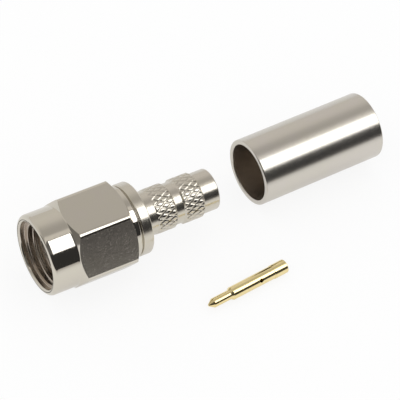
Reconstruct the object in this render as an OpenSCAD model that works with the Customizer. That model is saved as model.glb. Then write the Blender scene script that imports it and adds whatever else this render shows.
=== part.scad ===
// Straight coaxial crimp plug as it is supplied: the plug, its crimp ferrule and its centre contact
// lie side by side on a flat surface, before a cable is fitted.
//
// The plug lies along Y. Its mating reference plane, the front face of the outer contact, is y = 0
// and its axis is x = z = 0. The coupling nut's mouth faces -Y and the crimp stem points to +Y.
// The surface that everything rests on is half the hexagon's width below the axis.

/* [Coupling nut] */
// Width across the hexagon's flats
nut_flats = 8; // [7.9:0.1:8.4]
// Diameter that the hexagon's corners are turned down to
nut_corner_d = 9.09; // [8.8:0.01:9.1]
// Diameter of the round nose in front of the hexagon
nose_d = 7.85; // [7.6:0.05:7.9]
// Length of the round nose
nose_len = 2.7; // [2:0.1:3.4]
// Length of the hexagon with both of its chamfers
hex_len = 5.9; // [5:0.1:7]
// Length of the chamfer in front of the hexagon
front_chamfer = 0.48; // [0.3:0.02:0.8]
// Length of the chamfer behind the hexagon
back_chamfer = 0.33; // [0.2:0.01:0.6]
// Diameter of the round hub behind the hexagon
hub_d = 7.05; // [6.8:0.05:7.6]
// Length of the round hub
hub_len = 0.73; // [0.4:0.01:1.2]
// Rounding of the mouth's outer edge
lip_round = 0.4; // [0.1:0.05:0.4]
// Bevel of the mouth's inner edge
mouth_bevel = 0.17; // [0.05:0.01:0.2]
// Diameter of the counterbore in the mouth
mouth_d = 6.6; // [6.5:0.05:6.7]
// Depth of the counterbore in the mouth
mouth_depth = 0.45; // [0.2:0.05:0.8]
// Length of the taper that leads into the thread
thread_lead = 0.2; // [0.1:0.05:0.4]
// Diameter of the coupling thread at its roots
thread_major_d = 6.35; // [6.2:0.05:6.4]
// Diameter of the coupling thread at its crests
thread_minor_d = 5.64; // [5.5:0.02:5.8]
// Length of the coupling thread
thread_len = 2.55; // [2:0.05:2.55]
// Diameter of the relief behind the thread
relief_d = 6.5; // [6.3:0.05:6.8]
// Distance that the mouth stands ahead of the reference plane
nut_reach = 3.3; // [3.3:0.05:3.6]

/* [Plug body] */
// Wall of the outer contact's sleeve
sleeve_wall = 0.24; // [0.15:0.01:0.35]
// Length of the sleeve ahead of the barrel
sleeve_len = 2.3; // [2:0.1:2.8]
// Diameter of the barrel that the nut turns on
barrel_d = 5.44; // [5.2:0.02:5.6]
// Diameter of the collar behind the nut
collar_d = 7.09; // [6.8:0.01:7.6]
// Length of the collar
collar_len = 1.09; // [0.6:0.01:1.6]
// Diameter of the plain neck behind the collar
neck_d = 4.33; // [4.2:0.01:4.5]
// Length of the plain neck
neck_len = 1.38; // [0.8:0.02:2]
// Diameter over the crests of the knurled bands
knurl_d = 4.42; // [4.3:0.02:4.6]
// Depth of the knurl
knurl_depth = 0.13; // [0.05:0.01:0.15]
// Teeth around each knurled band
knurl_teeth = 22; // [16:1:30]
// Angle between the knurl's grooves and the axis
knurl_angle = 30; // [25:1:45]
// Length of the knurled band beside the neck
front_knurl_len = 1.8; // [1.2:0.1:2.6]
// Length of the knurled band beside the tail
rear_knurl_len = 1.87; // [1.2:0.01:2.6]
// Diameter of the groove between the knurled bands
groove_d = 4.08; // [3.8:0.02:4.12]
// Length of the groove between the knurled bands
groove_len = 1.08; // [0.6:0.02:1.6]
// Diameter of the plain tail
tail_d = 4.03; // [3.7:0.01:4.1]
// Length of the plain tail
tail_len = 1.82; // [1:0.01:2.6]
// Bore for the cable's dielectric
cable_bore_d = 3.1; // [2.95:0.05:3.3]
// Chamfer on the body's outer edges
edge_break = 0.1; // [0.03:0.01:0.15]

/* [Insulator] */
// Diameter of the insulator in the outer contact
insulator_d = 4.12; // [4:0.02:4.2]
// Depth of the shoulder that stops the insulator
insulator_seat = 3.3; // [2.5:0.1:3.5]
// Diameter of the insulator's spigot behind the shoulder
spigot_d = 2.4; // [2:0.05:2.5]
// Distance that the insulator's face sits behind the reference plane
insulator_recess = 0.05; // [0.02:0.01:0.2]

/* [Retaining ring] */
// Distance of the ring's centre behind the reference plane
ring_y = 4.05; // [3.9:0.05:4.4]
// Width of the ring along the axis
ring_w = 0.5; // [0.3:0.05:0.6]
// Inner diameter of the ring
ring_inner_d = 4.7; // [4.6:0.05:4.9]
// Outer diameter of the ring
ring_outer_d = 6.1; // [5.9:0.05:6.3]
// Opening in the ring
ring_gap = 1.2; // [0.6:0.1:2]

/* [Gasket] */
// Length of the sealing gasket
gasket_len = 0.5; // [0.3:0.05:0.8]
// Outer diameter of the sealing gasket
gasket_d = 6; // [5.6:0.1:6.1]

/* [Centre contact] */
// Diameter of the contact's needle
needle_d = 0.92; // [0.85:0.01:0.98]
// Length of the needle ahead of its shoulder
needle_len = 2.37; // [2:0.01:2.7]
// Diameter of the needle's blunt end
tip_d = 0.2; // [0.1:0.02:0.4]
// Length of the needle's pointed end
tip_len = 0.55; // [0.3:0.05:0.8]
// Diameter of the contact's shank
shank_d = 1.27; // [1.2:0.01:1.3]
// Length of the shank between its two shoulders
shank_len = 4.97; // [4.5:0.01:5.4]
// Length of the taper on the shank's shoulder
shoulder_len = 0.25; // [0.1:0.05:0.5]
// Diameter of the contact's rear barrel
rear_d = 1.36; // [1.34:0.01:1.5]
// Length of the rear barrel
rear_len = 1.49; // [1:0.01:2]
// Diameter of the hole for the cable's inner conductor
wire_hole_d = 1; // [0.9:0.02:1.1]
// Depth of the hole for the inner conductor
wire_hole_len = 3.3; // [2.8:0.1:3.8]
// Diameter of the inspection hole
sight_hole_d = 0.4; // [0.3:0.02:0.5]

/* [Crimp ferrule] */
// Outer diameter of the ferrule
ferrule_outer_d = 6.6; // [6.4:0.05:7]
// Inner diameter of the ferrule
ferrule_inner_d = 5.64; // [5.5:0.02:6]
// Length of the ferrule
ferrule_len = 13.4; // [11:0.1:14.5]
// Rounding of the ferrule's edges
ferrule_round = 0.12; // [0.05:0.01:0.15]

/* [Fits] */
// Radial clearance between the nut and the barrel
spin_clear = 0.05; // [0.02:0.01:0.08]
// Gap between the nut's hub and the collar
nut_play = 0.08; // [0.05:0.01:0.15]
// Clearance around the retaining ring in the nut's groove
ring_clear = 0.1; // [0.05:0.01:0.15]
// Radial clearance between the contact's shank and the insulator
shank_clear = 0.025; // [0.01:0.005:0.03]
// Gap between the front of the barrel and the nut's inner shoulder
shoulder_clear = 0.3; // [0.15:0.05:0.5]

/* [Layout] */
// Gap along the plug's axis between the tail and the ferrule
ferrule_gap = 4.64; // [2:0.01:8]
// Sideways place of the ferrule's middle
ferrule_x = -0.7; // [-0.8:0.05:0]
// Turn of the ferrule on the surface
ferrule_turn = 1.4; // [0:0.1:1.5]
// Sideways place of the contact's tip
contact_x = 9.77; // [8:0.01:14]
// Distance of the contact's tip behind the reference plane
contact_y = 9.76; // [6:0.01:14]
// Turn of the contact on the surface
contact_turn = 5.5; // [0:0.5:20]
// Roll of the contact's inspection hole away from straight up
contact_roll = 50; // [0:5:80]

/* [Hidden] */

$fn = 96;
past = 1; // how far a cutter runs past the face it opens
surface_z = -nut_flats / 2;

// Coupling nut, measured from its mouth
nose_r = nose_d / 2;
corner_r = nut_corner_d / 2;
hex_back = nose_len + hex_len;
nut_len = hex_back + hub_len;
mouth_r = mouth_d / 2;
thread_start = mouth_depth + thread_lead;
thread_end = thread_start + thread_len;
relief_end = nut_reach + sleeve_len + shoulder_clear;
spin_bore_d = barrel_d + 2 * spin_clear;
ring_in_nut = nut_reach + ring_y;

// Plug body, measured from the reference plane
sleeve_d = insulator_d + 2 * sleeve_wall;
collar_front = nut_len - nut_reach + nut_play;
collar_back = collar_front + collar_len;
neck_back = collar_back + neck_len;
groove_front = neck_back + front_knurl_len;
groove_back = groove_front + groove_len;
tail_front = groove_back + rear_knurl_len;
tail_back = tail_front + tail_len;
knurl_floor_d = knurl_d - 2 * knurl_depth;
insulator_back = shank_len;

// Centre contact, measured from its tip
shank_back = needle_len + shank_len;
contact_len = shank_back + rear_len;

// Puts what is modelled along +Z onto the plug's axis, starting at y
module along_axis(y) {
    translate([0, y, 0]) rotate([-90, 0, 0]) children();
}

// Round bar from z = from to z = to, with a chamfered edge at each end
module turned(d, from, to, front_break = 0, back_break = 0) {
    rotate_extrude()
        polygon([[0, from], [d / 2 - front_break, from], [d / 2, from + front_break],
                 [d / 2, to - back_break], [d / 2 - back_break, to], [0, to]]);
}

// Cutter for a round hole from z = from to z = to
module hole(d, from, to) {
    translate([0, 0, from]) cylinder(d = d, h = to - from);
}

// Round nose of the nut, with the mouth's outer edge rounded
module nut_nose() {
    rotate_extrude() {
        square([nose_r - lip_round, nose_len + front_chamfer]);
        translate([0, lip_round]) square([nose_r, nose_len - lip_round]);
        translate([nose_r - lip_round, lip_round]) circle(lip_round);
    }
}

// Hexagon with its corners turned down and both ends chamfered, one flat facing down
module nut_hexagon() {
    intersection() {
        translate([0, 0, nose_len]) cylinder(d = nut_flats / cos(30), h = hex_len, $fn = 6);
        rotate_extrude()
            polygon([[0, nose_len], [nose_r, nose_len], [corner_r, nose_len + front_chamfer],
                     [corner_r, hex_back - back_chamfer], [nut_flats / 2, hex_back], [0, hex_back]]);
    }
}

// Hollow of the nut: counterbore, thread, relief, bore on the barrel and the ring's groove
module nut_hollow() {
    rotate_extrude()
        polygon([[0, -past], [mouth_r + mouth_bevel + past, -past], [mouth_r, mouth_bevel],
                 [mouth_r, mouth_depth], [thread_major_d / 2, mouth_depth],
                 [thread_minor_d / 2, thread_start], [thread_minor_d / 2, thread_end],
                 [relief_d / 2, thread_end], [relief_d / 2, relief_end], [0, relief_end]]);
    hole(spin_bore_d, relief_end - past, nut_len + past);
    hole(ring_outer_d + 2 * ring_clear, ring_in_nut - ring_w / 2 - ring_clear,
         ring_in_nut + ring_w / 2 + ring_clear);
}

module coupling_nut() {
    color("lightgray") along_axis(-nut_reach) difference() {
        union() {
            nut_nose();
            nut_hexagon();
            turned(hub_d, hex_back - past, nut_len, 0, edge_break);
        }
        nut_hollow();
    }
}

// Band of diamond knurl between z = from and z = to. Crests and groove crossings alternate like
// a chessboard's squares, and every edge between two crossings is the floor of a groove.
module knurl_band(from, to) {
    row_step = PI * knurl_d / knurl_teeth / (2 * tan(knurl_angle));
    rows = max(2, round((to - from) / row_step));
    columns = 2 * knurl_teeth;
    rim = [for (j = [0:rows], i = [0:columns - 1])
        let (d = (i + j) % 2 == 0 ? knurl_floor_d : knurl_d, a = 360 * i / columns)
        [d / 2 * cos(a), d / 2 * sin(a), from + (to - from) * j / rows]];
    sides = [for (j = [0:rows - 1], i = [0:columns - 1])
        let (a = j * columns + i, b = j * columns + (i + 1) % columns, c = a + columns, d = b + columns)
        each (i + j) % 2 == 0 ? [[a, c, d], [a, d, b]] : [[a, c, b], [b, c, d]]];
    front_middle = len(rim);
    back_middle = front_middle + 1;
    ends = [for (i = [0:columns - 1])
        let (next = (i + 1) % columns)
        each [[front_middle, i, next],
              [back_middle, rows * columns + next, rows * columns + i]]];
    polyhedron(concat(rim, [[0, 0, from], [0, 0, to]]), concat(sides, ends));
}

// Outside of the plug body, from the outer contact's sleeve to the tail
module body_outside() {
    turned(sleeve_d, 0, sleeve_len + past, edge_break);
    turned(barrel_d, sleeve_len, collar_front + collar_len / 2, edge_break);
    turned(collar_d, collar_front, collar_back, edge_break, edge_break);
    turned(neck_d, collar_back - collar_len / 2, neck_back);
    knurl_band(neck_back, groove_front);
    turned(groove_d, neck_back - neck_len / 2, tail_front);
    knurl_band(groove_back, tail_front);
    turned(tail_d, groove_back, tail_back, 0, edge_break);
}

module plug_body() {
    color("silver") along_axis(0) difference() {
        body_outside();
        hole(insulator_d, -past, insulator_seat);
        hole(spigot_d, insulator_seat - past, insulator_back);
        hole(cable_bore_d, insulator_back, tail_back + past);
        // groove for the retaining ring
        difference() {
            hole(barrel_d + past, ring_y - ring_w / 2, ring_y + ring_w / 2);
            hole(ring_inner_d, ring_y - ring_w, ring_y + ring_w);
        }
    }
}

module insulator() {
    color("white") along_axis(0) difference() {
        union() {
            hole(insulator_d, insulator_recess, insulator_seat);
            hole(spigot_d, insulator_seat, insulator_back);
        }
        hole(shank_d + 2 * shank_clear, insulator_recess - past, insulator_back + past);
    }
}

// Split spring ring between the barrel's groove and the nut's groove
module retaining_ring() {
    color("peru") along_axis(ring_y - ring_w / 2) difference() {
        hole(ring_outer_d, 0, ring_w);
        hole(ring_inner_d, -past, ring_w + past);
        translate([0, -ring_gap / 2, -past]) cube([ring_outer_d, ring_gap, ring_w + 2 * past]);
    }
}

module gasket() {
    color("orangered") along_axis(sleeve_len - gasket_len) difference() {
        hole(gasket_d, 0, gasket_len);
        hole(sleeve_d, -past, gasket_len + past);
    }
}

// Contact along +Z from its tip, with the wire hole in the rear and the inspection hole through
// the wall at the wire hole's bottom
module contact_on_end() {
    difference() {
        rotate_extrude()
            polygon([[0, 0], [tip_d / 2, 0], [needle_d / 2, tip_len], [needle_d / 2, needle_len],
                     [shank_d / 2, needle_len + shoulder_len], [shank_d / 2, shank_back],
                     [rear_d / 2, shank_back], [rear_d / 2, contact_len - edge_break],
                     [rear_d / 2 - edge_break, contact_len], [0, contact_len]]);
        hole(wire_hole_d, contact_len - wire_hole_len, contact_len + past);
        translate([0, 0, contact_len - wire_hole_len + sight_hole_d / 2])
            rotate([90, 0, 0]) cylinder(d = sight_hole_d, h = shank_d);
    }
}

module centre_contact() {
    color("gold") translate([contact_x, contact_y, surface_z + rear_d / 2])
        rotate([0, contact_roll, contact_turn]) rotate([-90, 0, 0]) contact_on_end();
}

module crimp_ferrule() {
    wall = (ferrule_outer_d - ferrule_inner_d) / 2;
    color("darkgray") translate([ferrule_x, tail_back + ferrule_gap + ferrule_len / 2,
                                 surface_z + ferrule_outer_d / 2])
        rotate([-90, 0, ferrule_turn]) translate([0, 0, -ferrule_len / 2]) rotate_extrude()
            translate([ferrule_inner_d / 2, 0]) rounded_section(wall, ferrule_len, ferrule_round);
}

// Rectangle from the origin with rounded corners
module rounded_section(width, height, radius) {
    translate([radius, 0]) square([width - 2 * radius, height]);
    translate([0, radius]) square([width, height - 2 * radius]);
    for (x = [radius, width - radius], y = [radius, height - radius])
        translate([x, y]) circle(radius, $fn = 32);
}

coupling_nut();
plug_body();
insulator();
retaining_ring();
gasket();
centre_contact();
crimp_ferrule();
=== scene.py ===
import math

import bpy
from mathutils import Matrix, Vector


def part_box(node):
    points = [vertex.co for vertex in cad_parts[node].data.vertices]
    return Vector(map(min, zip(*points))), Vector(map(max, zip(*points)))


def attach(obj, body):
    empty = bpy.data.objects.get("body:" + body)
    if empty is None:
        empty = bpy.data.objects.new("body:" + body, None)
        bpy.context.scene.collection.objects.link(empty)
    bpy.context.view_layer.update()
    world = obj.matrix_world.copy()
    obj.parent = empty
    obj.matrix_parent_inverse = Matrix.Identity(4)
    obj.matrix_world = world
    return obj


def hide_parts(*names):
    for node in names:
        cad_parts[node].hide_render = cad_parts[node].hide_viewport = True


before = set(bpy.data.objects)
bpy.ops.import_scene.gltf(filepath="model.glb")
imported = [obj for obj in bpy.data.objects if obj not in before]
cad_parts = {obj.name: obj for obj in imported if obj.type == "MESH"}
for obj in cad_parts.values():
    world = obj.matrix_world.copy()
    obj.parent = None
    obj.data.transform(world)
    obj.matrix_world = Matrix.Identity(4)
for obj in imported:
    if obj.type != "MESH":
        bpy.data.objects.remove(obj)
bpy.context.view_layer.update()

# A straight coaxial crimp plug as it is supplied: the plug with its coupling nut, the crimp
# ferrule and the centre contact lie on a pale surface. The plug's axis is Y and its mating
# reference plane is y = 0. Sizes are in millimetres, and a finished piece is brought to metres.

MM = 0.001


def cad_corners(node):
    """Lowest and highest corner of a CAD node in millimetres."""
    low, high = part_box(node)
    return low / MM, high / MM


nut_low, nut_high = cad_corners("coupling_nut")
body_low, body_high = cad_corners("plug_body")
ferrule_low, ferrule_high = cad_corners("crimp_ferrule")
contact_low, contact_high = cad_corners("centre_contact")

MOUTH = nut_low.y
HUB_BACK = nut_high.y
TAIL_BACK = body_high.y
SURFACE = nut_low.z

# ---------------------------------------------------------------- sizes of the coupling nut

NUT_FLATS = 8.0
CORNER_R = 4.545
NOSE_R = 3.925
HUB_R = 3.525
LIP_ROUND = 0.4
MOUTH_R = 3.3
MOUTH_ROUND = 0.22
THREAD_ROOT_R = 3.175
THREAD_CREST_R = 2.82
THREAD_PITCH = 25.4 / 36
RELIEF_R = 3.25
SPIN_BORE_R = 2.77
RING_GROOVE_R = 3.15
HEXAGON_ROUND = 0.5
FLAT_EDGE_BREAK = 0.05

NOSE_BACK = MOUTH + 2.7
CHAMFER_BACK = NOSE_BACK + 0.48
CORNER_BACK = HUB_BACK - 0.73 - 0.33
HEX_BACK = HUB_BACK - 0.73
COUNTERBORE_BACK = MOUTH + 0.6
THREAD_FRONT = MOUTH + 0.68
THREAD_BACK = MOUTH + 3.2
RELIEF_BACK = 2.6

# ---------------------------------------------------------------- sizes of the plug body

SLEEVE_R = 2.3
INSULATOR_R = 2.06
SPIGOT_R = 1.2
CABLE_BORE_R = 1.55
BARREL_R = 2.72
COLLAR_R = 3.545
GAP_FLOOR_R = 3.36
NECK_R = 2.165
KNURL_R = 2.21
KNURL_DEPTH = 0.07
KNURL_SLOPE = 0.15
GROOVE_R = 2.04
TAIL_R = 2.015

COLLAR_FRONT = HUB_BACK + 0.08
COLLAR_BACK = COLLAR_FRONT + 1.09
KNURL_FRONT = COLLAR_BACK + 1.38
GROOVE_FRONT = KNURL_FRONT + 1.8
GROOVE_BACK = GROOVE_FRONT + 1.08
TAIL_FRONT = GROOVE_BACK + 1.87

KNURL_TEETH = 22
CELL = 6  # mesh steps from the middle of a knurl groove to the middle of the next diamond
GROOVE_REACH = 2.5  # mesh steps from the middle of a knurl groove to its edge
KNURL_ROWS = ((KNURL_FRONT, GROOVE_FRONT, 21), (GROOVE_BACK, TAIL_FRONT, 22))

# ---------------------------------------------------------------- sizes of the loose pieces

FERRULE_TURN = math.radians(1.4)
FERRULE_OUTER_R = 3.3
FERRULE_INNER_R = 2.82
FERRULE_LENGTH = 13.4
FERRULE_ROUND = 0.12

CONTACT_TURN = math.radians(5.5)
CONTACT_ROLL = math.radians(50)
CONTACT_TIP = Vector((9.77, 9.76, SURFACE + 0.68))
NEEDLE_R = 0.46
SHANK_R = 0.635
REAR_R = 0.68
NEEDLE_BACK = 2.37
SHANK_BACK = NEEDLE_BACK + 4.97
CONTACT_BACK = SHANK_BACK + 1.49
WIRE_HOLE_R = 0.5
WIRE_HOLE_BOTTOM = CONTACT_BACK - 3.3
SIGHT_HOLE_R = 0.2


# ================================================================ modelling helpers

def deselect():
    """Leaves edit mode with nothing selected."""
    if bpy.context.object and bpy.context.object.mode != "OBJECT":
        bpy.ops.object.mode_set(mode="OBJECT")
    bpy.ops.object.select_all(action="DESELECT")


def pick(piece):
    """Makes one piece the only selected and active one."""
    deselect()
    piece.select_set(True)
    bpy.context.view_layer.objects.active = piece


def select_where(piece, wanted):
    """Selects, in edit mode, the vertices whose places pass a test."""
    bpy.ops.object.mode_set(mode="EDIT")
    bpy.ops.mesh.select_mode(type="VERT")
    bpy.ops.mesh.select_all(action="DESELECT")
    bpy.ops.object.mode_set(mode="OBJECT")
    for vertex in piece.data.vertices:
        vertex.select = wanted(vertex.co)
    bpy.ops.object.mode_set(mode="EDIT")


def rounded(corners, closed=True, steps=6, hold=0.03):
    """Points of an outline in the XY plane whose corners (radius, y, rounding) are rounded.

    A holding point on each side of a rounding keeps its shading off the straight parts."""
    spots = [Vector((c[0], c[1], 0)) for c in corners]
    points = []
    for i, here in enumerate(spots):
        radius = corners[i][2] if len(corners[i]) > 2 else 0
        ends = not closed and i in (0, len(spots) - 1)
        if ends or not radius:
            points.append(here)
            continue
        before, after = spots[i - 1], spots[(i + 1) % len(spots)]
        back, ahead = (before - here).normalized(), (after - here).normalized()
        half = back.angle(ahead) / 2
        reach = radius / math.tan(half)
        middle = here + (back + ahead).normalized() * (radius / math.sin(half))
        start, stop = here + back * reach - middle, here + ahead * reach - middle
        turn = math.pi - 2 * half
        side = 1 if start.cross(stop).z > 0 else -1
        if (before - here).length > reach + 3 * hold:
            points.append(here + back * (reach + hold))
        for k in range(steps + 1):
            swing = Matrix.Rotation(side * turn * k / steps, 3, "Z")
            points.append(middle + swing @ start)
        if (after - here).length > reach + 3 * hold:
            points.append(here + ahead * (reach + hold))
    return points


def draw(name, points, closed):
    """A wire through the points, drawn vertex by vertex, left in edit mode."""
    deselect()
    bpy.ops.mesh.primitive_plane_add(size=1, location=(0, 0, 0))
    piece = bpy.context.object
    piece.name = piece.data.name = name
    bpy.ops.object.mode_set(mode="EDIT")
    bpy.ops.mesh.select_mode(type="VERT")
    bpy.ops.mesh.select_all(action="SELECT")
    bpy.ops.mesh.merge(type="CENTER")
    bpy.ops.transform.translate(value=points[0])
    route = list(points) + ([points[0]] if closed else [])
    for here, there in zip(route, route[1:]):
        bpy.ops.mesh.extrude_vertices_move(TRANSFORM_OT_translate={"value": there - here})
    bpy.ops.mesh.select_all(action="SELECT")
    bpy.ops.mesh.remove_doubles(threshold=1e-4)
    return piece


def turned(name, points, steps, closed=True):
    """An outline spun about the Y axis into a closed solid."""
    piece = draw(name, points, closed)
    bpy.ops.mesh.select_all(action="SELECT")
    bpy.ops.mesh.spin(steps=steps, angle=math.tau, center=(0, 0, 0), axis=(0, 1, 0))
    bpy.ops.mesh.select_all(action="SELECT")
    bpy.ops.mesh.remove_doubles(threshold=1e-4)
    bpy.ops.mesh.normals_make_consistent(inside=False)
    bpy.ops.object.mode_set(mode="OBJECT")
    return piece


def cut(piece, tool, operation="DIFFERENCE"):
    """Applies a boolean of the piece with a tool, which is then thrown away."""
    pick(piece)
    modifier = piece.modifiers.new("cut", "BOOLEAN")
    modifier.operation = operation
    modifier.solver = "EXACT"
    modifier.object = tool
    bpy.ops.object.modifier_apply(modifier=modifier.name)
    bpy.data.objects.remove(tool)


def finished(piece, body, node, smooth=25):
    """Brings a piece to metres, shades it and hangs it in the frame."""
    pick(piece)
    bpy.ops.object.transform_apply(location=True, rotation=True, scale=True)
    piece.scale = (MM,) * 3
    bpy.ops.object.transform_apply(location=True, rotation=True, scale=True)
    bpy.ops.object.shade_smooth_by_angle(angle=math.radians(smooth))
    weighting = piece.modifiers.new("flat_faces_stay_flat", "WEIGHTED_NORMAL")
    weighting.keep_sharp = True
    bpy.ops.object.modifier_apply(modifier=weighting.name)
    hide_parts(node)
    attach(piece, body)
    deselect()
    return piece


# ================================================================ the coupling nut

def thread_tap():
    """Helical ridge that leaves the thread's grooves when it is taken out of the bore.

    Its foot flares out, so that the crests between its turns come out rounded."""
    flank = math.tan(math.radians(30))
    top_half = THREAD_PITCH / 16
    side = [(THREAD_ROOT_R, top_half), (2.9, top_half + (THREAD_ROOT_R - 2.9) * flank),
            (2.865, 0.226), (2.84, 0.25), (2.825, 0.285), (2.815, 0.33), (2.76, 0.34)]
    start = THREAD_FRONT - THREAD_PITCH
    section = [Vector((r, start - half, 0)) for r, half in reversed(side)]
    section += [Vector((r, start + half, 0)) for r, half in side]
    tap = draw("thread_tap", section, closed=True)
    bpy.ops.object.mode_set(mode="OBJECT")
    screw = tap.modifiers.new("helix", "SCREW")
    screw.axis = "Y"
    screw.steps = screw.render_steps = 96
    screw.screw_offset = THREAD_PITCH
    screw.iterations = 5
    bpy.ops.object.modifier_apply(modifier=screw.name)
    bpy.ops.object.mode_set(mode="EDIT")
    bpy.ops.mesh.select_all(action="SELECT")
    bpy.ops.mesh.remove_doubles(threshold=1e-4)
    bpy.ops.mesh.fill_holes(sides=0)
    bpy.ops.mesh.normals_make_consistent(inside=False)
    bpy.ops.object.mode_set(mode="OBJECT")
    return tap


def hexagon_bar():
    """Bar of hexagonal section with rounded edges and one flat facing down."""
    deselect()
    length = HUB_BACK - MOUTH + 2
    bpy.ops.mesh.primitive_cylinder_add(
        vertices=6, radius=NUT_FLATS / 2 / math.cos(math.pi / 6), depth=length,
        location=(0, (HUB_BACK + MOUTH) / 2, 0), rotation=(math.pi / 2, math.pi / 6, 0))
    bar = bpy.context.object
    bpy.ops.object.transform_apply(location=True, rotation=True, scale=True)
    bpy.ops.object.mode_set(mode="EDIT")
    bpy.ops.mesh.select_mode(type="EDGE")
    bpy.ops.mesh.select_all(action="DESELECT")
    bpy.ops.object.mode_set(mode="OBJECT")
    for edge in bar.data.edges:
        ends = [bar.data.vertices[v].co.y for v in edge.vertices]
        edge.select = abs(ends[0] - ends[1]) > 1
    bpy.ops.object.mode_set(mode="EDIT")
    bpy.ops.mesh.bevel(offset=HEXAGON_ROUND * math.tan(math.pi / 6), offset_type="OFFSET",
                       segments=8, profile=0.5)
    bpy.ops.object.mode_set(mode="OBJECT")
    return bar


def is_flat_of_hexagon(face, unit=MM):
    """True on the six flats of the nut, which face 30, 90, 150... degrees round the axis."""
    normal, place = face.normal, face.center / unit
    if abs(normal.y) > 0.01 or not NOSE_BACK < place.y < HEX_BACK:
        return False
    turn = math.degrees(math.atan2(normal.z, normal.x)) % 60
    return abs(turn - 30) < 0.5 and abs(normal.dot(place) - NUT_FLATS / 2) < 0.02


def break_flat_edges(nut):
    """Takes the sharpness off the curved edges at both ends of the six flats."""
    deselect()
    pick(nut)
    flats = {face.index for face in nut.data.polygons if is_flat_of_hexagon(face, 1)}
    beside = {}
    for face in nut.data.polygons:
        for key in face.edge_keys:
            beside.setdefault(key, []).append(face.index)
    bpy.ops.object.mode_set(mode="EDIT")
    bpy.ops.mesh.select_mode(type="EDGE")
    bpy.ops.mesh.select_all(action="DESELECT")
    bpy.ops.object.mode_set(mode="OBJECT")
    for edge in nut.data.edges:
        faces = beside[edge.key]
        normals = [nut.data.polygons[f].normal for f in faces]
        edge.select = (any(f in flats for f in faces)
                       and normals[0].angle(normals[1]) > math.radians(20))
    bpy.ops.object.mode_set(mode="EDIT")
    bpy.ops.mesh.bevel(offset=FLAT_EDGE_BREAK, offset_type="OFFSET", segments=3, profile=0.5,
                       clamp_overlap=True)
    bpy.ops.object.mode_set(mode="OBJECT")


def make_nut():
    outline = rounded([
        (MOUTH_R, MOUTH, MOUTH_ROUND), (NOSE_R, MOUTH, LIP_ROUND),
        (NOSE_R, NOSE_BACK, 0.2), (CORNER_R, CHAMFER_BACK, 0.04),
        (CORNER_R, CORNER_BACK, 0.04), (NUT_FLATS / 2, HEX_BACK), (HUB_R, HEX_BACK, 0.08),
        (HUB_R, HUB_BACK, 0.18), (SPIN_BORE_R, HUB_BACK, 0.05),
        (SPIN_BORE_R, 4.4), (RING_GROOVE_R, 4.4), (RING_GROOVE_R, 3.7), (SPIN_BORE_R, 3.7),
        (SPIN_BORE_R, RELIEF_BACK, 0.05), (RELIEF_R, RELIEF_BACK), (RELIEF_R, THREAD_BACK),
        (THREAD_CREST_R, THREAD_BACK), (THREAD_CREST_R, THREAD_FRONT, 0.05),
        (MOUTH_R, COUNTERBORE_BACK, 0.06)])
    nut = turned("nut_with_thread", outline, 192)
    cut(nut, hexagon_bar(), "INTERSECT")
    break_flat_edges(nut)
    cut(nut, thread_tap())
    return nut


# ================================================================ the plug body

def knurl_rows():
    """Outline points of the two knurled bands, one row of the mesh each."""
    return [[(KNURL_R, front + (back - front) * k / count) for k in range(count + 1)]
            for front, back, count in KNURL_ROWS]


def press_knurl(body):
    """Draws the crossing grooves of the diamond knurl in towards the axis, line by line."""
    for level in range(math.ceil(GROOVE_REACH)):
        depth = KNURL_DEPTH * (1 - level / GROOVE_REACH)
        for front, back, count in KNURL_ROWS:
            step = (back - front) / count

            def on_line(place):
                if not front - 1e-3 < place.y < back + 1e-3:
                    return False
                if math.hypot(place.x, place.z) < KNURL_R - 1e-3:
                    return False
                column = round(math.atan2(place.z, place.x) / math.tau * 2 * KNURL_TEETH * CELL)
                row = round((place.y - front) / step)
                across = [(column + way * row) % (2 * CELL) for way in (1, -1)]
                return min(min(a, 2 * CELL - a) for a in across) == level

            pick(body)
            select_where(body, on_line)
            share = 1 - depth / KNURL_R
            bpy.ops.transform.resize(value=(share, 1, share), center_override=(0, 0, 0))
            bpy.ops.object.mode_set(mode="OBJECT")


def make_body():
    front_band, rear_band = knurl_rows()
    outline = rounded([
        (INSULATOR_R, 0), (SLEEVE_R, 0, 0.06), (SLEEVE_R, 2.3), (BARREL_R, 2.3, 0.1),
        (BARREL_R, 3.8), (2.35, 3.8), (2.35, 4.3), (BARREL_R, 4.3), (BARREL_R, COLLAR_FRONT - 0.05),
        (GAP_FLOOR_R, COLLAR_FRONT - 0.05, 0.02), (GAP_FLOOR_R, COLLAR_FRONT),
        (COLLAR_R, COLLAR_FRONT, 0.15), (COLLAR_R, COLLAR_BACK, 0.15), (NECK_R, COLLAR_BACK, 0.12),
        (NECK_R, KNURL_FRONT - KNURL_SLOPE, 0.05)]
        + front_band + [(GROOVE_R, GROOVE_FRONT + KNURL_SLOPE, 0.05),
                        (GROOVE_R, GROOVE_BACK - KNURL_SLOPE, 0.05)]
        + rear_band + [(TAIL_R, TAIL_FRONT + KNURL_SLOPE, 0.05), (TAIL_R, TAIL_BACK, 0.15),
                       (CABLE_BORE_R, TAIL_BACK, 0.06),
           (CABLE_BORE_R, 4.97), (SPIGOT_R, 4.97), (SPIGOT_R, 3.3), (INSULATOR_R, 3.3)])
    body = turned("knurled_plug_body", outline, 2 * KNURL_TEETH * CELL)
    press_knurl(body)
    return body


# ================================================================ the loose pieces

def make_ferrule():
    half = FERRULE_LENGTH / 2
    edges = [(FERRULE_INNER_R, -half), (FERRULE_OUTER_R, -half),
             (FERRULE_OUTER_R, half), (FERRULE_INNER_R, half)]
    ferrule = turned("ferrule_tube", rounded([(r, y, FERRULE_ROUND) for r, y in edges]), 256)
    ferrule.rotation_euler = (0, 0, FERRULE_TURN)
    ferrule.location = (ferrule_low + ferrule_high) / 2
    return ferrule


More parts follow.
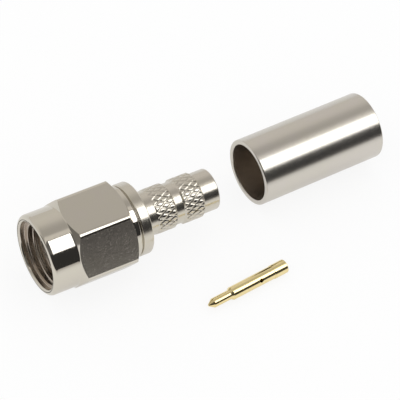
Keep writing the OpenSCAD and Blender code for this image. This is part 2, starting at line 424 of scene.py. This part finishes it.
def make_contact():
    outline = rounded([
        (0, 0), (0.1, 0, 0.04), (NEEDLE_R, 0.55, 0.06), (NEEDLE_R, NEEDLE_BACK, 0.03),
        (SHANK_R, NEEDLE_BACK + 0.25, 0.03), (SHANK_R, SHANK_BACK, 0.01),
        (REAR_R, SHANK_BACK, 0.015), (REAR_R, CONTACT_BACK, 0.1),
        (WIRE_HOLE_R, CONTACT_BACK, 0.03), (WIRE_HOLE_R, WIRE_HOLE_BOTTOM, 0.05),
        (0, WIRE_HOLE_BOTTOM)], closed=False, hold=0.015)
    contact = turned("contact_pin", outline, 96, closed=False)
    deselect()
    bpy.ops.mesh.primitive_cylinder_add(
        vertices=48, radius=SIGHT_HOLE_R, depth=SHANK_R + 0.3,
        location=(0, WIRE_HOLE_BOTTOM + SIGHT_HOLE_R, (SHANK_R + 0.3) / 2))
    drill = bpy.context.object
    bpy.ops.object.transform_apply(location=True, rotation=True, scale=True)
    cut(contact, drill)
    contact.matrix_world = (Matrix.Translation(CONTACT_TIP)
                            @ Matrix.Rotation(CONTACT_TURN, 4, "Z")
                            @ Matrix.Rotation(CONTACT_ROLL, 4, "Y"))
    return contact


nut = finished(make_nut(), "nut", "coupling_nut")
body = finished(make_body(), "plug", "plug_body")
ferrule = finished(make_ferrule(), "plug", "crimp_ferrule")
contact = finished(make_contact(), "plug", "centre_contact")


# ================================================================ finishes

def new_tree(name):
    """Node tree of a new, empty material."""
    material = bpy.data.materials.new(name)
    material.use_nodes = True
    material.node_tree.nodes.clear()
    return material, material.node_tree


def add(tree, kind, settings=None, **inputs):
    """Adds a node, with its settings and the values or links of its inputs."""
    node = tree.nodes.new(kind)
    for key, value in (settings or {}).items():
        setattr(node, key, value)
    for key, value in inputs.items():
        socket = node.inputs[key.replace("_", " ")]
        if isinstance(value, bpy.types.NodeSocket):
            tree.links.new(value, socket)
        else:
            socket.default_value = value
    return node


def math_node(tree, operation, first, second=0.0, third=0.0):
    node = add(tree, "ShaderNodeMath", {"operation": operation})
    for socket, value in zip(node.inputs, (first, second, third)):
        if isinstance(value, bpy.types.NodeSocket):
            tree.links.new(value, socket)
        else:
            socket.default_value = value
    return node.outputs[0]


def group(name, inputs, outputs):
    """A shader node group with its named sockets, and its input and output nodes."""
    tree = bpy.data.node_groups.new(name, "ShaderNodeTree")
    for label, kind, value in inputs:
        socket = tree.interface.new_socket(label, in_out="INPUT", socket_type=kind)
        if value is not None:
            socket.default_value = value
    for label, kind in outputs:
        tree.interface.new_socket(label, in_out="OUTPUT", socket_type=kind)
    return tree, tree.nodes.new("NodeGroupInput"), tree.nodes.new("NodeGroupOutput")


def turning_marks():
    """Fine rings that a lathe tool leaves round the axis, as a height and as a tone."""
    tree, given, out = group(
        "Turning marks",
        [("Place", "NodeSocketVector", None), ("Rings per mm", "NodeSocketFloat", 14.0),
         ("Waver", "NodeSocketFloat", 0.6)],
        [("Height", "NodeSocketFloat"), ("Tone", "NodeSocketFloat")])
    stretch = add(tree, "ShaderNodeVectorMath", {"operation": "MULTIPLY"})
    tree.links.new(given.outputs["Place"], stretch.inputs[0])
    stretch.inputs[1].default_value = (0.02, 1, 0.02)
    fine = add(tree, "ShaderNodeTexNoise", Vector=stretch.outputs[0],
               Scale=given.outputs["Rings per mm"], Detail=3.0, Roughness=0.6)
    broad = add(tree, "ShaderNodeTexNoise", Vector=given.outputs["Place"], Scale=1.1, Detail=2.0)
    waver = math_node(tree, "MULTIPLY", broad.outputs["Fac"], given.outputs["Waver"])
    height = math_node(tree, "ADD", fine.outputs["Fac"], waver)
    tree.links.new(height, out.inputs["Height"])
    tree.links.new(fine.outputs["Fac"], out.inputs["Tone"])
    return tree


def orange_peel():
    """Fine dimples and a few pits of a plated surface that was drawn, not turned."""
    tree, given, out = group(
        "Orange peel",
        [("Place", "NodeSocketVector", None), ("Dimples per mm", "NodeSocketFloat", 3.0),
         ("Pits per mm", "NodeSocketFloat", 4.0), ("Pit depth", "NodeSocketFloat", 1.0)],
        [("Height", "NodeSocketFloat"), ("Pits", "NodeSocketFloat")])
    dimples = add(tree, "ShaderNodeTexNoise", Vector=given.outputs["Place"],
                  Scale=given.outputs["Dimples per mm"], Detail=4.0, Roughness=0.65)
    cells = add(tree, "ShaderNodeTexVoronoi", Vector=given.outputs["Place"],
                Scale=given.outputs["Pits per mm"])
    near = add(tree, "ShaderNodeMapRange", Value=cells.outputs["Distance"])
    near.inputs["From Min"].default_value = 0.08
    near.inputs["From Max"].default_value = 0.22
    near.inputs["To Min"].default_value = 1.0
    near.inputs["To Max"].default_value = 0.0
    pits = math_node(tree, "MULTIPLY", near.outputs[0], given.outputs["Pit depth"])
    height = math_node(tree, "SUBTRACT", dimples.outputs["Fac"], pits)
    tree.links.new(height, out.inputs["Height"])
    tree.links.new(near.outputs[0], out.inputs["Pits"])
    return tree


def plating_tone():
    """Two close tones of a plated metal in broad soft clouds."""
    tree, given, out = group(
        "Plating tone",
        [("Place", "NodeSocketVector", None), ("Clouds per mm", "NodeSocketFloat", 0.5),
         ("Tone", "NodeSocketColor", None), ("Second tone", "NodeSocketColor", None)],
        [("Colour", "NodeSocketColor")])
    clouds = add(tree, "ShaderNodeTexNoise", Vector=given.outputs["Place"],
                 Scale=given.outputs["Clouds per mm"], Detail=3.0)
    spread = add(tree, "ShaderNodeMapRange", Value=clouds.outputs["Fac"])
    spread.inputs["From Min"].default_value = 0.35
    spread.inputs["From Max"].default_value = 0.65
    blend = add(tree, "ShaderNodeMix", {"data_type": "RGBA"})
    tree.links.new(spread.outputs[0], blend.inputs[0])
    tree.links.new(given.outputs["Tone"], blend.inputs[6])
    tree.links.new(given.outputs["Second tone"], blend.inputs[7])
    tree.links.new(blend.outputs[2], out.inputs["Colour"])
    return tree


TURNING = turning_marks()
PEEL = orange_peel()
TONE = plating_tone()


def place_in_mm(tree, turn=(0, 0, 0), centre=(0, 0, 0)):
    """Object coordinates in millimetres, turned so that the piece's axis is Y."""
    coordinates = add(tree, "ShaderNodeTexCoord")
    mapping = add(tree, "ShaderNodeMapping", Vector=coordinates.outputs["Object"],
                  Scale=(1 / MM,) * 3, Rotation=turn, Location=centre)
    return mapping.outputs[0]


def use(tree, made, **inputs):
    node = tree.nodes.new("ShaderNodeGroup")
    node.node_tree = made
    for key, value in inputs.items():
        socket = node.inputs[key.replace("_", " ")]
        if isinstance(value, bpy.types.NodeSocket):
            tree.links.new(value, socket)
        else:
            socket.default_value = value
    return node


def spread(tree, value, low, high):
    """Brings a mask from 0-1 to the range from low to high."""
    node = add(tree, "ShaderNodeMapRange", Value=value)
    node.inputs["To Min"].default_value = low
    node.inputs["To Max"].default_value = high
    return node.outputs[0]


def plated_metal(name, tones, roughness, marks=None, peel=None, turn=(0, 0, 0), rings=14.0,
                 dimples=3.0, pits=4.0, pit_depth=1.0):
    """A plated metal with lathe rings, orange peel or both."""
    material, tree = new_tree(name)
    place = place_in_mm(tree, turn)
    tone = use(tree, TONE, Place=place, Tone=(*tones[0], 1), Second_tone=(*tones[1], 1))
    rings_node = use(tree, TURNING, Place=place, Rings_per_mm=rings)
    shader = add(tree, "ShaderNodeBsdfPrincipled", Metallic=1.0,
                 Base_Color=tone.outputs["Colour"],
                 Roughness=spread(tree, rings_node.outputs["Tone"], *roughness))
    normal = None
    if marks:
        bump = add(tree, "ShaderNodeBump", Height=rings_node.outputs["Height"], Strength=1.0,
                   Distance=marks * MM)
        normal = bump.outputs[0]
    if peel:
        skin = use(tree, PEEL, Place=place, Dimples_per_mm=dimples, Pits_per_mm=pits,
                   Pit_depth=pit_depth)
        bump = add(tree, "ShaderNodeBump", Height=skin.outputs["Height"], Strength=1.0,
                   Distance=peel * MM)
        if normal:
            tree.links.new(normal, bump.inputs["Normal"])
        normal = bump.outputs[0]
    tree.links.new(normal, shader.inputs["Normal"])
    output = add(tree, "ShaderNodeOutputMaterial")
    tree.links.new(shader.outputs[0], output.inputs["Surface"])
    return material


def plain_solid(name, tones, roughness, grain, depth, **settings):
    """A plastic or rubber with a fine grain and slightly uneven colour."""
    material, tree = new_tree(name)
    place = place_in_mm(tree)
    tone = use(tree, TONE, Place=place, Tone=(*tones[0], 1), Second_tone=(*tones[1], 1))
    noise = add(tree, "ShaderNodeTexNoise", Vector=place, Scale=grain, Detail=4.0)
    bump = add(tree, "ShaderNodeBump", Height=noise.outputs["Fac"], Strength=1.0,
               Distance=depth * MM)
    shader = add(tree, "ShaderNodeBsdfPrincipled", Base_Color=tone.outputs["Colour"],
                 Roughness=spread(tree, noise.outputs["Fac"], *roughness),
                 Normal=bump.outputs[0], **settings)
    output = add(tree, "ShaderNodeOutputMaterial")
    tree.links.new(shader.outputs[0], output.inputs["Surface"])
    return material


NICKEL = ((0.640, 0.600, 0.530), (0.640, 0.605, 0.520))
SATIN = ((0.640, 0.605, 0.555), (0.640, 0.610, 0.540))
# Darker, browner tone for the faces inside the nut's bore and the ferrule's bore: painted shade of
# those hollows, on the same nickel plating.
INSIDE_PAINTED_SHADE = ((0.560, 0.500, 0.440), (0.540, 0.480, 0.410))
GOLD = ((0.900, 0.760, 0.420), (0.880, 0.730, 0.380))

bright_nickel = plated_metal("bright_nickel", NICKEL, (0.06, 0.1), marks=0.00012)
turned_nickel = plated_metal("turned_nickel", NICKEL, (0.18, 0.25), marks=0.0002)
drawn_nickel = plated_metal("drawn_nickel", NICKEL, (0.13, 0.2), peel=0.0028, dimples=4.0,
                            pits=4.0)
# Inside of the nut's mouth and thread: rougher nickel in the darker tone of painted shade.
threaded_nickel_painted_shade = plated_metal("threaded_nickel_painted_shade", INSIDE_PAINTED_SHADE, (0.22, 0.3), marks=0.0004)
knurled_nickel = plated_metal("knurled_nickel", NICKEL, (0.12, 0.2), peel=0.001, dimples=5.0)
satin_nickel = plated_metal("satin_nickel", SATIN, (0.18, 0.27), marks=0.0003, peel=0.0015,
                            turn=(0, 0, -FERRULE_TURN), dimples=6.0, pits=3.0)
# Inside of the ferrule: rougher nickel in the darker tone of painted shade.
bored_nickel_painted_shade = plated_metal("bored_nickel_painted_shade", INSIDE_PAINTED_SHADE, (0.35, 0.45), marks=0.0005,
                            turn=(0, 0, -FERRULE_TURN))
gold_plate = plated_metal("gold_plate", GOLD, (0.12, 0.2), marks=0.0003,
                          turn=(0, 0, -CONTACT_TURN), rings=20.0)
ptfe = plain_solid("ptfe", ((0.80, 0.79, 0.76), (0.84, 0.83, 0.80)), (0.35, 0.5), 12.0, 0.003)
silicone = plain_solid("silicone", ((0.55, 0.07, 0.03), (0.62, 0.09, 0.04)), (0.4, 0.55), 8.0,
                       0.004)
spring_bronze = plated_metal("spring_bronze", ((0.72, 0.42, 0.24), (0.66, 0.38, 0.20)),
                             (0.2, 0.32), peel=0.002)


def dress(piece, *materials):
    piece.data.materials.clear()
    for material in materials:
        piece.data.materials.append(material)


def dress_faces(piece, index, wanted):
    """Gives the material at an index to the faces that pass a test."""
    for face in piece.data.polygons:
        if wanted(face):
            face.material_index = index


def is_knurled(face):
    place = face.center / MM
    if math.hypot(place.x, place.z) < KNURL_R - KNURL_DEPTH - 0.02:
        return False
    return any(front < place.y < back for front, back, count in KNURL_ROWS)


def is_inside_nut(face):
    place = face.center / MM
    return math.hypot(place.x, place.z) < MOUTH_R + 0.01 and place.y > MOUTH + MOUTH_ROUND


def is_inside_ferrule(face):
    place = (face.center / MM - (ferrule_low + ferrule_high) / 2)
    place.rotate(Matrix.Rotation(-FERRULE_TURN, 3, "Z"))
    return (math.hypot(place.x, place.z) < FERRULE_INNER_R + 0.01
            and abs(place.y) < FERRULE_LENGTH / 2 - FERRULE_ROUND)


dress(nut, bright_nickel, drawn_nickel, threaded_nickel_painted_shade)
dress_faces(nut, 1, is_flat_of_hexagon)
# The faces inside the nut take the darker tone of painted shade.
dress_faces(nut, 2, is_inside_nut)
dress(body, turned_nickel, knurled_nickel)
dress_faces(body, 1, is_knurled)
dress(ferrule, satin_nickel, bored_nickel_painted_shade)
# The faces inside the ferrule take the darker tone of painted shade.
dress_faces(ferrule, 1, is_inside_ferrule)
dress(contact, gold_plate)
dress(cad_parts["insulator"], ptfe)
dress(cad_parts["gasket"], silicone)
dress(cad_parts["retaining_ring"], spring_bronze)


# ================================================================ floor, light and camera

def make_floor():
    """Pale surface that looks white, keeps a light shadow and, in reflections, shows a painted
    falloff of light on the side away from the lamps."""
    deselect()
    bpy.ops.mesh.primitive_plane_add(size=3, location=(0, 0, SURFACE * MM))
    bpy.ops.object.transform_apply(location=True, rotation=True, scale=True)
    floor = bpy.context.object
    floor.name = "floor"
    material, tree = new_tree("pale_paper")
    rays = add(tree, "ShaderNodeLightPath")
    seen = math_node(tree, "MAXIMUM", rays.outputs["Is Camera Ray"],
                     rays.outputs["Is Transmission Ray"])
    coordinates = add(tree, "ShaderNodeTexCoord")
    across = add(tree, "ShaderNodeSeparateXYZ", Vector=coordinates.outputs["Object"])
    # Painted falloff of light, seen only in the floor's reflections: brightest just past the middle
    # in X, darker towards both sides and darkest towards +X.
    painted_falloff = add(tree, "ShaderNodeValToRGB",
                  Fac=add(tree, "ShaderNodeMapRange", Value=across.outputs["X"],
                          From_Min=-0.1, From_Max=0.1).outputs[0])
    stops = painted_falloff.color_ramp.elements
    stops[0].position, stops[0].color = 0.25, (0.72, 0.72, 0.72, 1)
    stops[1].position, stops[1].color = 1.0, (0.26, 0.20, 0.18, 1)
    for position, tone in ((0.46, 0.85), (0.5, 1.0), (0.6, 1.0), (0.75, 0.72)):
        stops.new(position).color = (tone, tone * 0.99, tone * 0.98, 1)
    blend_tone = add(tree, "ShaderNodeMix", {"data_type": "RGBA"})
    tree.links.new(seen, blend_tone.inputs[0])
    tree.links.new(painted_falloff.outputs[0], blend_tone.inputs[6])
    blend_tone.inputs[7].default_value = (1, 1, 1, 1)
    paper = add(tree, "ShaderNodeBsdfDiffuse", Color=(0.95, 0.95, 0.95, 1))
    # Emission that is white for camera rays and carries the painted falloff of light for other
    # rays.
    white = add(tree, "ShaderNodeEmission", Color=blend_tone.outputs[2])
    share = math_node(tree, "MAXIMUM", math_node(tree, "MULTIPLY", seen, 0.85),
                      math_node(tree, "MULTIPLY", rays.outputs["Is Glossy Ray"], 0.5))
    blend = add(tree, "ShaderNodeMixShader")
    tree.links.new(share, blend.inputs[0])
    tree.links.new(paper.outputs[0], blend.inputs[1])
    tree.links.new(white.outputs[0], blend.inputs[2])
    output = add(tree, "ShaderNodeOutputMaterial")
    tree.links.new(blend.outputs[0], output.inputs["Surface"])
    dress(floor, material)


def make_world():
    world = bpy.data.worlds.new("studio")
    bpy.context.scene.world = world
    world.use_nodes = True
    tree = world.node_tree
    tree.nodes.clear()
    background = add(tree, "ShaderNodeBackground", Color=(1, 1, 1, 1), Strength=1.0)
    output = add(tree, "ShaderNodeOutputWorld")
    tree.links.new(background.outputs[0], output.inputs["Surface"])


def glow(piece, colour, strength):
    """Makes a piece a card that only reflections show."""
    material, tree = new_tree(piece.name)
    light = add(tree, "ShaderNodeEmission", Color=(*colour, 1))
    if isinstance(strength, (int, float)):
        light.inputs["Strength"].default_value = strength
    else:
        coordinates = add(tree, "ShaderNodeTexCoord")
        place = add(tree, "ShaderNodeSeparateXYZ", Vector=coordinates.outputs["Object"])
        angle = math_node(tree, "ARCTAN2", place.outputs["Z"], place.outputs["X"])
        share = math_node(tree, "DIVIDE", angle, math.pi)
        ramp = add(tree, "ShaderNodeValToRGB", Fac=share)
        stops = ramp.color_ramp.elements
        for k, (degrees, level) in enumerate(strength):
            stop = stops[k] if k < 2 else stops.new(degrees / 180)
            stop.position, stop.color = degrees / 180, (level, level, level, 1)
        tree.links.new(ramp.outputs[0], light.inputs["Strength"])
    output = add(tree, "ShaderNodeOutputMaterial")
    tree.links.new(light.outputs[0], output.inputs["Surface"])
    dress(piece, material)
    piece.visible_camera = False
    piece.visible_diffuse = False
    piece.visible_shadow = False


def card(name, low_angle, high_angle, near_y, far_y, colour, strength, radius=0.45):
    """Curved card over the object, between two angles from +X, that only reflections show.

    A list of (angle, strength) makes a card whose brightness changes along its curve."""
    edge = [Vector((radius, near_y, 0)), Vector((radius, far_y, 0))]
    piece = draw(name, edge, closed=False)
    bpy.ops.mesh.select_all(action="SELECT")
    start = math.radians(low_angle)
    bpy.ops.transform.rotate(value=start, orient_axis="Y", center_override=(0, 0, 0))
    bpy.ops.mesh.spin(steps=24, angle=math.radians(high_angle - low_angle), center=(0, 0, 0),
                      axis=(0, 1, 0))
    bpy.ops.object.mode_set(mode="OBJECT")
    glow(piece, colour, strength)


def end_wall(name, y, colour, strength):
    """Upright card that closes one end of the arch of cards."""
    deselect()
    bpy.ops.mesh.primitive_plane_add(size=1, location=(0, y, 0.225),
                                     rotation=(math.pi / 2, 0, 0))
    piece = bpy.context.object
    piece.name = name
    piece.scale = (0.9, 0.45, 1)
    bpy.ops.object.transform_apply(location=True, rotation=True, scale=True)
    glow(piece, colour, strength)


WARM_GREY = (1.0, 0.965, 0.925)

make_floor()
make_world()
card("black_card", 0, 44.6, -0.9, 0.9, (1, 0.98, 1), 0.04)
card("soft_box", 44.6, 81, 0.06, 0.75, (1, 1, 1), 2.6)
card("front_card", 44.6, 81, -0.9, 0.055, (1, 1, 1), 0.15)
card("soft_box_frame", 81, 82.6, -0.9, 0.9, (1, 1, 1), 0.08)
card("ceiling_card", 82.6, 180, -0.9, 0.9, WARM_GREY,
     ((82.6, 0.8), (180, 0.72), (92, 0.8), (97, 0.52), (104, 0.49), (113, 0.515), (123, 0.6),
      (133, 0.71), (143, 0.75), (153, 0.76)))
end_wall("front_wall", -0.9, WARM_GREY, 0.22)
end_wall("back_wall", 0.9, WARM_GREY, 0.6)

CAMERA_TARGET = Vector((-1.759, 15.578, -4.0))
CAMERA_DISTANCE = 216.17
CAMERA_AZIMUTH = math.radians(52.788)
CAMERA_ELEVATION = math.radians(51.155)
CAMERA_ROLL = math.radians(9.292)

lens = bpy.data.cameras.new("camera")
lens.lens = 202.98
lens.sensor_width = 36
lens.clip_start = 0.005
camera = bpy.data.objects.new("camera", lens)
bpy.context.scene.collection.objects.link(camera)
aim = (Matrix.Rotation(CAMERA_AZIMUTH, 4, "Z")
       @ Matrix.Rotation(math.pi / 2 - CAMERA_ELEVATION, 4, "X")
       @ Matrix.Rotation(CAMERA_ROLL, 4, "Z"))
camera.matrix_world = (Matrix.Translation(CAMERA_TARGET * MM) @ aim
                       @ Matrix.Translation((0, 0, CAMERA_DISTANCE * MM)))
bpy.context.scene.camera = camera
bpy.context.scene.view_settings.view_transform = "Standard"
